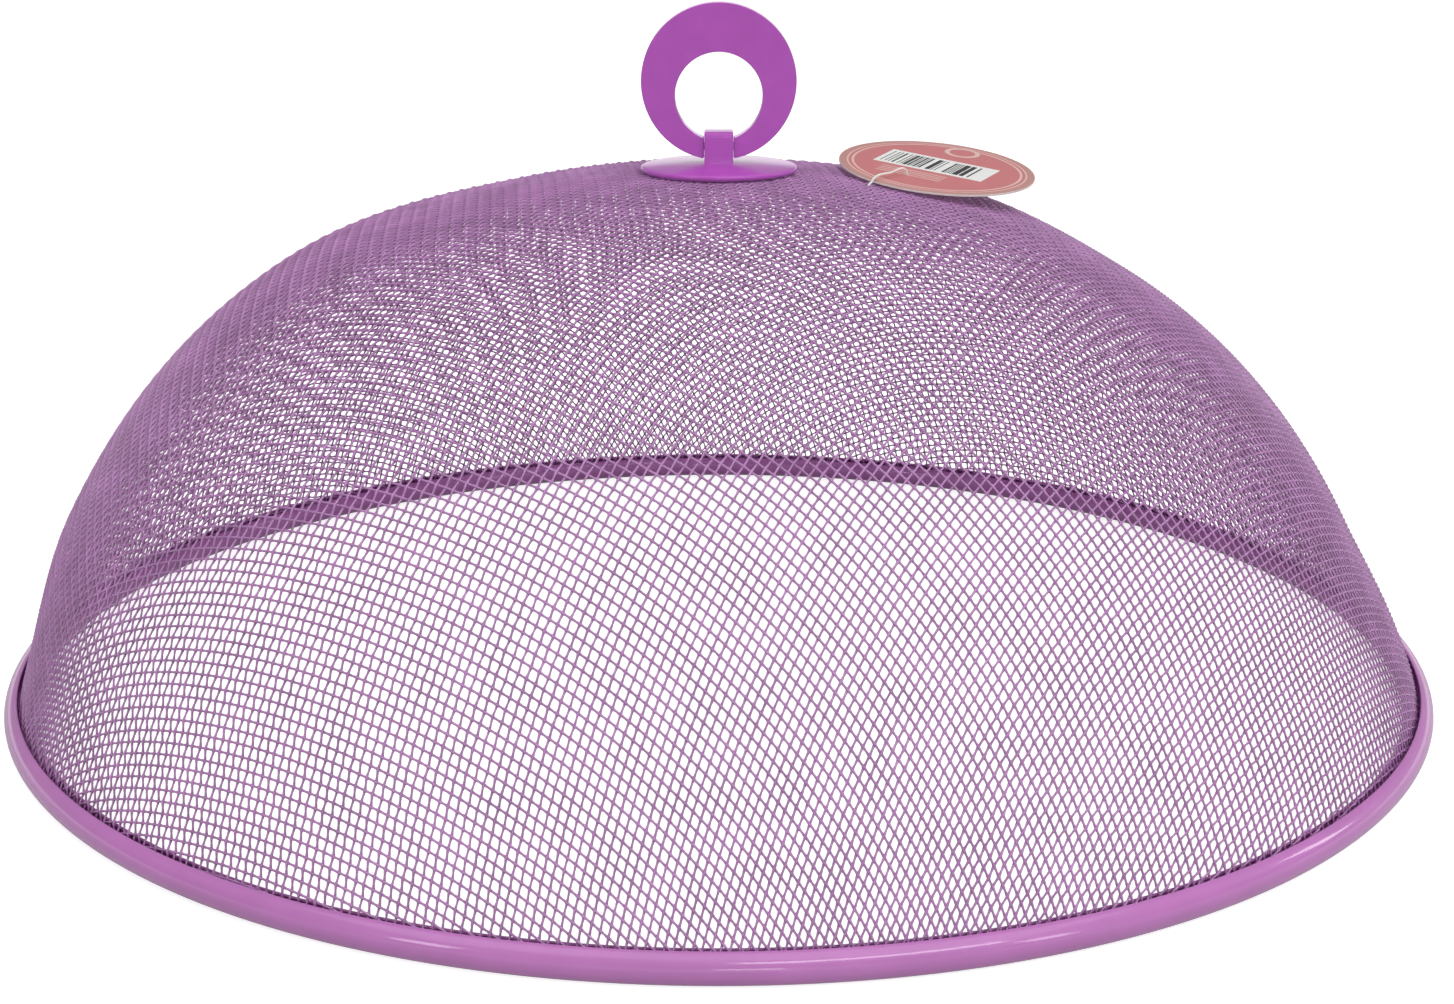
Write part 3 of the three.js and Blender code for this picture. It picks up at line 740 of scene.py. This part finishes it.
class COVER_OT_rim_hoop(CoverOperator):
    """Roll the steel strip round the cloth's edge"""

    bl_idname = "cover.rim_hoop"
    bl_label = "Rim Hoop"

    def execute(self, context):
        rim, cloth = context.scene.cover_rim, context.scene.cover_cloth
        middle_radius = (rim.tube - rim.sheet) / 2
        centre = Vector((RIM_HIGH.x - rim.tube / 2, 0, RIM_HIGH.z / 2))
        cloth_angle = math.pi / 2 + cloth.flank_lean
        outer_lip = cloth_angle - math.asin(rim.outer_slot / middle_radius)
        inner_lip = cloth_angle + math.asin(rim.inner_slot / middle_radius)
        hoop = add_shape("circle", vertices=TUBE_SIDES, radius=middle_radius, location=centre,
                         rotation=(math.pi / 2, 0, 0))
        edit(hoop, "DESELECT")
        section = bmesh.from_edit_mesh(hoop.data)
        for vertex in section.verts:
            turn = math.atan2(vertex.co.z - centre.z, vertex.co.x - centre.x) % (2 * math.pi)
            vertex.select_set(outer_lip < turn < inner_lip)
        section.select_flush_mode()
        bmesh.update_edit_mesh(hoop.data)
        bpy.ops.mesh.delete(type="VERT")
        bpy.ops.mesh.select_all(action="SELECT")
        bpy.ops.mesh.spin(steps=HOOP_STEPS, angle=2 * math.pi, center=(0, 0, 0), axis=(0, 0, 1),
                          use_auto_merge=True)
        bpy.ops.mesh.select_all(action="SELECT")
        bpy.ops.mesh.remove_doubles(threshold=NEAR)
        bpy.ops.mesh.normals_make_consistent(inside=False)
        bpy.ops.object.mode_set(mode="OBJECT")
        apply_modifier(hoop, "SOLIDIFY", thickness=rim.sheet, offset=0, use_even_offset=True, use_rim=True)
        round_edges(hoop, rim.sheet * LIP_ROUNDING_SHARE, steps=3, from_degrees=60)
        for vertex in hoop.data.vertices:
            vertex.co.z = max(vertex.co.z, 0)
        finish_piece(hoop, "rolled_rim", stoved_enamel, "cover", "enamelled_steel",
                     "rim_hoop", sharp=50)
        return {"FINISHED"}


DISC_SIDES = 144
DISC_RINGS = 9
POST_EDGE = 0.35 * MM
POST_TOP_STEPS = 6
SPIGOT_SIDES = 64
SCREW_TIP_AIR = 0.4 * MM
BORE_OVERRUN = 2 * MM


def round_plate(radius, underside, thickness, edge, rings):
    """A round plate whose underside follows a height function, with a rounded edge."""
    plate = add_shape("circle", vertices=DISC_SIDES, radius=radius, fill_type="NGON")
    edit(plate, "SELECT")
    for _ in range(rings):
        bpy.ops.mesh.inset(thickness=radius / (rings + 1), use_even_offset=True)
    bpy.ops.mesh.poke()
    bpy.ops.object.mode_set(mode="OBJECT")
    for vertex in plate.data.vertices:
        vertex.co.z = underside(math.hypot(vertex.co.x, vertex.co.y))
    apply_modifier(plate, "SOLIDIFY", thickness=thickness, offset=1, use_even_offset=True)
    round_edges(plate, edge, EDGE_STEPS, from_degrees=50)
    return plate


class COVER_OT_handle_base(CoverOperator):
    """Mould the disc that sits on the crown, with its hinge post"""

    bl_idname = "cover.handle_base"
    bl_label = "Handle Base"

    def execute(self, context):
        handle = context.scene.cover_handle
        dome = Dome()
        radius = BASE_HIGH.x - handle.base_trim

        def underside(r):
            return float(dome.height(r)) + handle.base_gap + handle.base_crown * (1 - (r / radius) ** 2)

        base = round_plate(radius, underside, handle.base_thickness, handle.base_edge, DISC_RINGS)
        in_disc = float(dome.height(0)) + handle.base_gap + handle.base_thickness / 2
        post_top = BASE_HIGH.z
        post = add_block((0, 0, (in_disc + post_top) / 2),
                         (handle.post_width, handle.post_depth, post_top - in_disc))
        top_edges = handle.post_depth / 2 - NEAR
        bevel_edges(post, lambda a, b: min(a.z, b.z) > post_top - NEAR and abs(a.y) > top_edges
                    and abs(a.y - b.y) < NEAR, handle.post_top, POST_TOP_STEPS)
        round_edges(post, POST_EDGE, steps=3, from_degrees=40)
        carve(base, post, "UNION")
        spigot_end = BASE_LOW.z
        carve(base, add_bar(handle.spigot / 2, in_disc - spigot_end, (0, 0, (in_disc + spigot_end) / 2),
                            SPIGOT_SIDES), "UNION")
        carve(base, add_bar(handle.eye / 2, 2 * handle.post_width, PIN_CENTRE, BORE_SIDES, (1, 0, 0)))
        bore_top = SCREW_HIGH.z + SCREW_TIP_AIR
        carve(base, add_bar(handle.screw_hole / 2, bore_top - spigot_end + BORE_OVERRUN,
                            (0, 0, (bore_top + spigot_end - BORE_OVERRUN) / 2), BORE_SIDES))
        finish_piece(base, "crown_disc_and_post", moulded_plastic, "cover", "base_plastic",
                     "handle_base", sharp=30)
        return {"FINISHED"}


RING_SIDES = 180
RING_HOLE_SIDES = 128
SLOT_OVERRUN = 5 * MM
EYE_IN_RING = 5.6 * MM  # the pin's eye beyond the slot, both ends together
END_REACH = 0.05 * MM


class COVER_OT_pull_ring(CoverOperator):
    """Mould the crescent ring, open below where it straddles the post"""

    bl_idname = "cover.pull_ring"
    bl_label = "Pull Ring"

    def execute(self, context):
        handle = context.scene.cover_handle
        radius = RING_HIGH.x
        thickness = RING_HIGH.y - RING_LOW.y
        centre = Vector((0, 0, RING_HIGH.z - radius))
        hole_centre = centre - Vector((0, 0, handle.ring_hole_drop))
        ring = add_bar(radius, thickness, centre, RING_SIDES, (0, 1, 0))
        carve(ring, add_bar(handle.ring_hole / 2, 2 * thickness, hole_centre, RING_HOLE_SIDES, (0, 1, 0)))
        slot_height = hole_centre.z - RING_LOW.z + SLOT_OVERRUN
        carve(ring, add_block((0, 0, hole_centre.z - slot_height / 2),
                              (handle.ring_slot, 2 * thickness, slot_height)))
        half = handle.ring_slot / 2
        low = centre.z - math.sqrt(radius ** 2 - half ** 2)
        bevel_edges(ring, lambda a, b: all(abs(abs(v.x) - half) < NEAR and abs(v.z - low) < END_REACH
                                           for v in (a, b)), handle.ring_end, segments=1)
        # With some other step counts the ring collapses to a few faces
        round_edges(ring, handle.ring_edge, EDGE_STEPS, from_degrees=35)
        carve(ring, add_bar(handle.eye / 2, handle.ring_slot + EYE_IN_RING, PIN_CENTRE, BORE_SIDES,
                            (1, 0, 0)))
        # Welding opens edges here
        finish_piece(ring, "finger_ring", moulded_plastic, "ring", "ring_plastic",
                     "pull_ring", sharp=30, weld=False)
        return {"FINISHED"}


BACKING_EDGE = 0.6 * MM
BACKING_RINGS = 3
HEAD_HEIGHT = 2.1 * MM
HEAD_SIDES, HEAD_RINGS = 64, 32
SHANK_OVERLAP = 0.2 * MM
TIP_BEVEL = 0.7 * MM
RECESS_WIDTH = 0.9 * MM
RECESS_SPAN = 3.2 * MM
RECESS_BLOCK = 2.2 * MM


class COVER_OT_fixings(CoverOperator):
    """Give the pin its finish, and make the backing disc and its screw"""

    bl_idname = "cover.fixings"
    bl_label = "Fixings"

    def execute(self, context):
        handle = context.scene.cover_handle
        pin = frame["nodes"]["hinge_pin"]
        pin.data.materials.clear()
        pin.data.materials.append(material_named(zinc_plated_steel))

        thickness = BACKING_HIGH.z - BACKING_LOW.z
        backing = round_plate(BACKING_HIGH.x, lambda r: BACKING_LOW.z, thickness, BACKING_EDGE,
                              BACKING_RINGS)
        carve(backing, add_bar(handle.screw_hole / 2, 4 * thickness, (0, 0, BACKING_LOW.z), BORE_SIDES))
        finish_piece(backing, "clamp_disc", moulded_plastic, "cover", "base_plastic",
                     "backing_disc", sharp=30)

        head_radius = SCREW_HIGH.x
        head_top = SCREW_LOW.z + HEAD_HEIGHT
        screw = add_shape("uv_sphere", segments=HEAD_SIDES, ring_count=HEAD_RINGS, radius=head_radius,
                          location=(0, 0, head_top), scale=(1, 1, HEAD_HEIGHT / head_radius))
        edit(screw, "SELECT")
        bpy.ops.mesh.bisect(plane_co=(0, 0, head_top), plane_no=(0, 0, 1), clear_outer=True, use_fill=True)
        bpy.ops.object.mode_set(mode="OBJECT")
        shank_length = SCREW_HIGH.z - head_top
        shank = add_bar(handle.screw_shank / 2, shank_length + SHANK_OVERLAP,
                        (0, 0, head_top + shank_length / 2 - SHANK_OVERLAP / 2), BORE_SIDES)
        bevel_edges(shank, lambda a, b: min(a.z, b.z) > SCREW_HIGH.z - NEAR, TIP_BEVEL, segments=2)
        carve(screw, shank, "UNION")
        for arm in ((RECESS_WIDTH, RECESS_SPAN), (RECESS_SPAN, RECESS_WIDTH)):
            carve(screw, add_block((0, 0, SCREW_LOW.z), arm + (RECESS_BLOCK,)))
        finish_piece(screw, "pan_head_screw", zinc_plated_steel, "cover", "screw_steel", "handle_screw",
                     sharp=30)
        return {"FINISHED"}


def card_axes():
    """The card's own right and away directions, in its plane."""
    away = Vector((0, TAG_NORMAL.z, -TAG_NORMAL.y)).normalized()
    return away.cross(TAG_NORMAL).normalized(), away


def on_card(right, away, above):
    """A point of the card's own frame, in the cover's frame."""
    card_right, card_away = card_axes()
    return TAG_CENTRE + card_right * right + card_away * away + TAG_NORMAL * above


CARD_SIDES = 160
CARD_HOLE_SIDES = 32
CARD_EDGE = 0.06 * MM
FACING_UP = 0.9


class COVER_OT_hang_tag(CoverOperator):
    """Cut the round card, map its print and lay it on the shoulder"""

    bl_idname = "cover.hang_tag"
    bl_label = "Hang Tag"

    def execute(self, context):
        tag = context.scene.cover_tag
        card_right, card_away = card_axes()
        hole = TAG_HOLE - TAG_CENTRE
        card = add_bar(tag.diameter / 2, tag.thickness, (0, 0, 0), CARD_SIDES)
        carve(card, add_bar(tag.hole / 2, 4 * tag.thickness, (hole @ card_right, hole @ card_away, 0),
                            CARD_HOLE_SIDES))
        round_edges(card, CARD_EDGE, steps=2, from_degrees=40)
        layer = card.data.uv_layers.new(name="card_millimetres")
        card.data.uv_layers.active = layer
        for loop in card.data.loops:
            corner = card.data.vertices[loop.vertex_index].co
            layer.data[loop.index].uv = (corner.x / MM, corner.y / MM)
        for maker in (printed_card, board_edge):
            card.data.materials.append(material_named(maker))
        for face in card.data.polygons:
            face.material_index = 0 if face.normal.z > FACING_UP else 1
        placed = Matrix((card_right, card_away, TAG_NORMAL)).transposed().to_4x4()
        card.data.transform(Matrix.Translation(TAG_CENTRE) @ placed)
        finish_piece(card, "round_card", None, "tag", "tag_card", "hang_tag", sharp=40)
        return {"FINISHED"}


TOGGLE_SIDES = 32
TOGGLE_EDGE = 0.3 * MM
PADDLE_EDGE = 0.2 * MM
TAG_AIR = 0.3 * MM  # above and below the card
FILAMENT_LIFT = 0.45 * MM
FILAMENT_BOW = 0.45 * MM
FILAMENT_BEND = 1.1 * MM
FILAMENT_BEND_RISE = 0.3 * MM
BESIDE_CARD = 1.45 * MM
OVER_EDGE = 0.5 * MM
# Millimetres from the toggle to the filament's exit, outward and towards the card's hole
CLOTH_OUT, CLOTH_ACROSS = 2.05, 0.95


class COVER_OT_tag_fastener(CoverOperator):
    """Mould the nylon pin: toggle under the cloth, filament over the card's edge, paddle under the card"""

    bl_idname = "cover.tag_fastener"
    bl_label = "Tag Fastener"

    def execute(self, context):
        tag = context.scene.cover_tag
        dome = Dome()
        card_right, card_away = card_axes()
        out = TAG_HOLE - TAG_CENTRE
        out = out - TAG_NORMAL * (out @ TAG_NORMAL)
        hole_reach = out.length
        heading = math.atan2(out @ card_away, out @ card_right)
        cos, sin = math.cos(heading), math.sin(heading)
        normal = Vector(dome.normal(np.array(TOGGLE_CENTRE)))
        edge = tag.diameter / 2
        over = tag.thickness / 2 + TAG_AIR + FILAMENT_LIFT
        to_hole = (TAG_HOLE - TOGGLE_CENTRE).normalized()
        cloth_face = TOGGLE_CENTRE + normal * CLOTH_OUT * MM + to_hole * CLOTH_ACROSS * MM
        paddle_drop = tag.thickness / 2 + TAG_AIR + tag.paddle_thickness / 2
        paddle_centre = TAG_HOLE - TAG_NORMAL * paddle_drop
        stations = ((edge + BESIDE_CARD, 0), (edge + OVER_EDGE, over),
                    ((edge + hole_reach + FILAMENT_BEND) / 2, over + FILAMENT_BOW),
                    (hole_reach + FILAMENT_BEND / 2, over + FILAMENT_BEND_RISE))
        route = [TOGGLE_CENTRE, cloth_face]
        route += [on_card(reach * cos, reach * sin, above) for reach, above in stations]
        route += [TAG_HOLE, paddle_centre]

        curve = round_curve("nylon_pin", tag.filament / 2, roundness=4)
        curve.resolution_u = 8
        spline = curve.splines.new("BEZIER")
        spline.bezier_points.add(len(route) - 1)
        for point, place in zip(spline.bezier_points, route):
            point.co = place
            point.handle_left_type = point.handle_right_type = "AUTO"
        filament = curve_mesh(curve)

        toggle = add_bar(tag.toggle / 2, tag.toggle_length, TOGGLE_CENTRE, TOGGLE_SIDES,
                         JOINTS["tag_lift"]["axis"])
        round_edges(toggle, TOGGLE_EDGE, steps=3, from_degrees=50)
        paddle = add_block((0, 0, 0), (tag.paddle_width, tag.paddle_length, tag.paddle_thickness))
        apply_modifier(paddle, "BEVEL", width=PADDLE_EDGE, segments=3)
        turned = Matrix((card_right * cos + card_away * sin, card_away * cos - card_right * sin, TAG_NORMAL))
        paddle.data.transform(Matrix.Translation(paddle_centre) @ turned.transposed().to_4x4())
        carve(filament, toggle, "UNION")
        carve(filament, paddle, "UNION")
        finish_piece(filament, "nylon_pin", moulded_nylon, "tag_pin", "nylon",
                     "tag_fastener", sharp=40)
        return {"FINISHED"}


# Stage

BACKDROP_TOP = math.sin(math.radians(8))
BACKDROP_FADE = 0.03
BACKDROP_LEVEL = 1.2
ROOM_LEVEL = 0.3
SOFT_LEVEL = 0.4


def shiny_ray(tree, path):
    """1 for a ray that a shiny or clear surface sends out, else 0."""
    return maths(tree, "MAXIMUM", path.outputs["Is Glossy Ray"], path.outputs["Is Transmission Ray"])


def studio_world():
    """Even soft light; camera and shiny surfaces see a white sweep, and shiny ones a dimmer room above it."""
    world = bpy.data.worlds.new("studio")
    bpy.context.scene.world = world
    world.use_nodes = True
    tree = world.node_tree
    tree.nodes.clear()
    path = add_node(tree, "ShaderNodeLightPath")
    direction = add_node(tree, "ShaderNodeTexCoord")
    height = add_node(tree, "ShaderNodeSeparateXYZ", inputs={"Vector": direction.outputs["Generated"]})
    room = add_node(tree, "ShaderNodeMapRange", {"clamp": True}, {
        "Value": height.outputs["Z"], "From Min": BACKDROP_TOP, "From Max": BACKDROP_TOP + BACKDROP_FADE,
        "To Min": BACKDROP_LEVEL, "To Max": ROOM_LEVEL})
    seen = maths(tree, "MAXIMUM", room.outputs["Result"], path.outputs["Is Camera Ray"])
    soft, sweep = (add_node(tree, "ShaderNodeBackground", inputs={
        "Color": linear("FFFFFF"), "Strength": level}) for level in (SOFT_LEVEL, seen))
    mix = add_node(tree, "ShaderNodeMixShader", inputs={
        0: maths(tree, "MAXIMUM", shiny_ray(tree, path), path.outputs["Is Camera Ray"]),
        1: soft.outputs["Background"], 2: sweep.outputs["Background"]})
    add_node(tree, "ShaderNodeOutputWorld", inputs={"Surface": mix.outputs["Shader"]})


TABLE_CAMERA_LEVEL = 0.82
TABLE_SHINY_LEVEL = 0.2


def white_table():
    """Matt white table that the camera sees at full white where no shadow falls."""
    material, tree, shader = new_material("white_table", {
        "Base Color": linear("BCBCBC"), "Roughness": 0.9, "Emission Color": linear("FFFFFF")})
    path = add_node(tree, "ShaderNodeLightPath")
    camera = maths(tree, "MULTIPLY", path.outputs["Is Camera Ray"], TABLE_CAMERA_LEVEL)
    shiny = maths(tree, "MULTIPLY_ADD", shiny_ray(tree, path), TABLE_SHINY_LEVEL, camera)
    tree.links.new(shiny, shader.inputs["Emission Strength"])
    return material


LAMP_TARGET = (0, 0, 0.07)
LAMP_DISTANCE = 1.7
TABLE_DROP = 0.05 * MM
# Each lamp's heading from +X and its elevation in degrees, its width and height in metres, and its watts
LAMPS = {
    "overhead_box": (-90, 84, 2.4, 1.6, 12.5),
    "front_box": (-65, 44, 1.0, 0.29, 6.4),
    "left_window": (-132, 24, 0.24, 0.4, 1.9),
    "low_window": (-86, 8, 0.26, 0.2, 1),
    "right_window": (-43, 22, 0.2, 0.4, 1.5),
    "side_window": (14, 26, 0.25, 0.4, 1.9),
}


def add_lamp(name, heading, elevation, width, height, power):
    """A soft rectangular lamp that faces the middle of the cover."""
    lamp = bpy.data.lights.new(name, "AREA")
    lamp.shape = "RECTANGLE"
    lamp.size, lamp.size_y = width, height
    lamp.energy = power
    holder = add_object(name, lamp)
    turn, rise = math.radians(heading), math.radians(elevation)
    away = Vector((math.cos(rise) * math.cos(turn), math.cos(rise) * math.sin(turn), math.sin(rise)))
    holder.location = Vector(LAMP_TARGET) + away * LAMP_DISTANCE
    holder.rotation_euler = away.to_track_quat("Z", "Y").to_euler()


class COVER_OT_studio(CoverOperator):
    """Set up the table, the soft lamps and the camera"""

    bl_idname = "cover.studio"
    bl_label = "Studio"

    def execute(self, context):
        studio = context.scene.cover_studio
        table = add_shape("plane", size=studio.floor_side, location=(0, 0, -TABLE_DROP))
        table.name = "table_top"
        table.data.materials.append(material_named(white_table))
        studio_world()
        for name, lamp in LAMPS.items():
            add_lamp(name, *lamp)

        lens = bpy.data.cameras.new("product_camera")
        lens.sensor_fit = "HORIZONTAL"
        lens.sensor_width = SENSOR_WIDTH
        lens.lens = studio.focal_pixels * SENSOR_WIDTH / PHOTO_WIDTH
        lens.shift_x = (PHOTO_WIDTH / 2 - studio.middle_pixel) / PHOTO_WIDTH
        camera = add_object("product_camera", lens)
        camera.location = (0, -studio.camera_back, studio.camera_height)
        camera.rotation_euler = (math.pi / 2 - studio.camera_pitch, 0, 0)
        context.scene.camera = camera
        context.scene.view_settings.view_transform = "Standard"
        return {"FINISHED"}


class COVER_PT_panel(bpy.types.Panel):
    """Lists the cover's pieces in the sidebar"""

    bl_label = "Food Cover"
    bl_idname = "COVER_PT_panel"
    bl_space_type = "VIEW_3D"
    bl_region_type = "UI"
    bl_category = "Food Cover"

    def draw(self, context):
        for operator in OPERATORS:
            self.layout.operator(operator.bl_idname)


SETTINGS = {
    "cover_cloth": ClothSettings,
    "cover_rim": RimSettings,
    "cover_handle": HandleSettings,
    "cover_tag": TagSettings,
    "cover_studio": StudioSettings,
}
OPERATORS = (COVER_OT_studio, COVER_OT_wire_cloth, COVER_OT_rim_hoop, COVER_OT_handle_base,
             COVER_OT_pull_ring, COVER_OT_fixings, COVER_OT_hang_tag, COVER_OT_tag_fastener)
CLASSES = (*SETTINGS.values(), *OPERATORS, COVER_PT_panel)


def register():
    for entry in CLASSES:
        bpy.utils.register_class(entry)
    for name, settings in SETTINGS.items():
        setattr(bpy.types.Scene, name, PointerProperty(type=settings))


def unregister():
    for name in SETTINGS:
        delattr(bpy.types.Scene, name)
    for entry in reversed(CLASSES):
        bpy.utils.unregister_class(entry)


def main():
    register()
    for operator in OPERATORS:
        getattr(bpy.ops.cover, operator.bl_idname.removeprefix("cover."))()


if __name__ == "__main__":
    main()
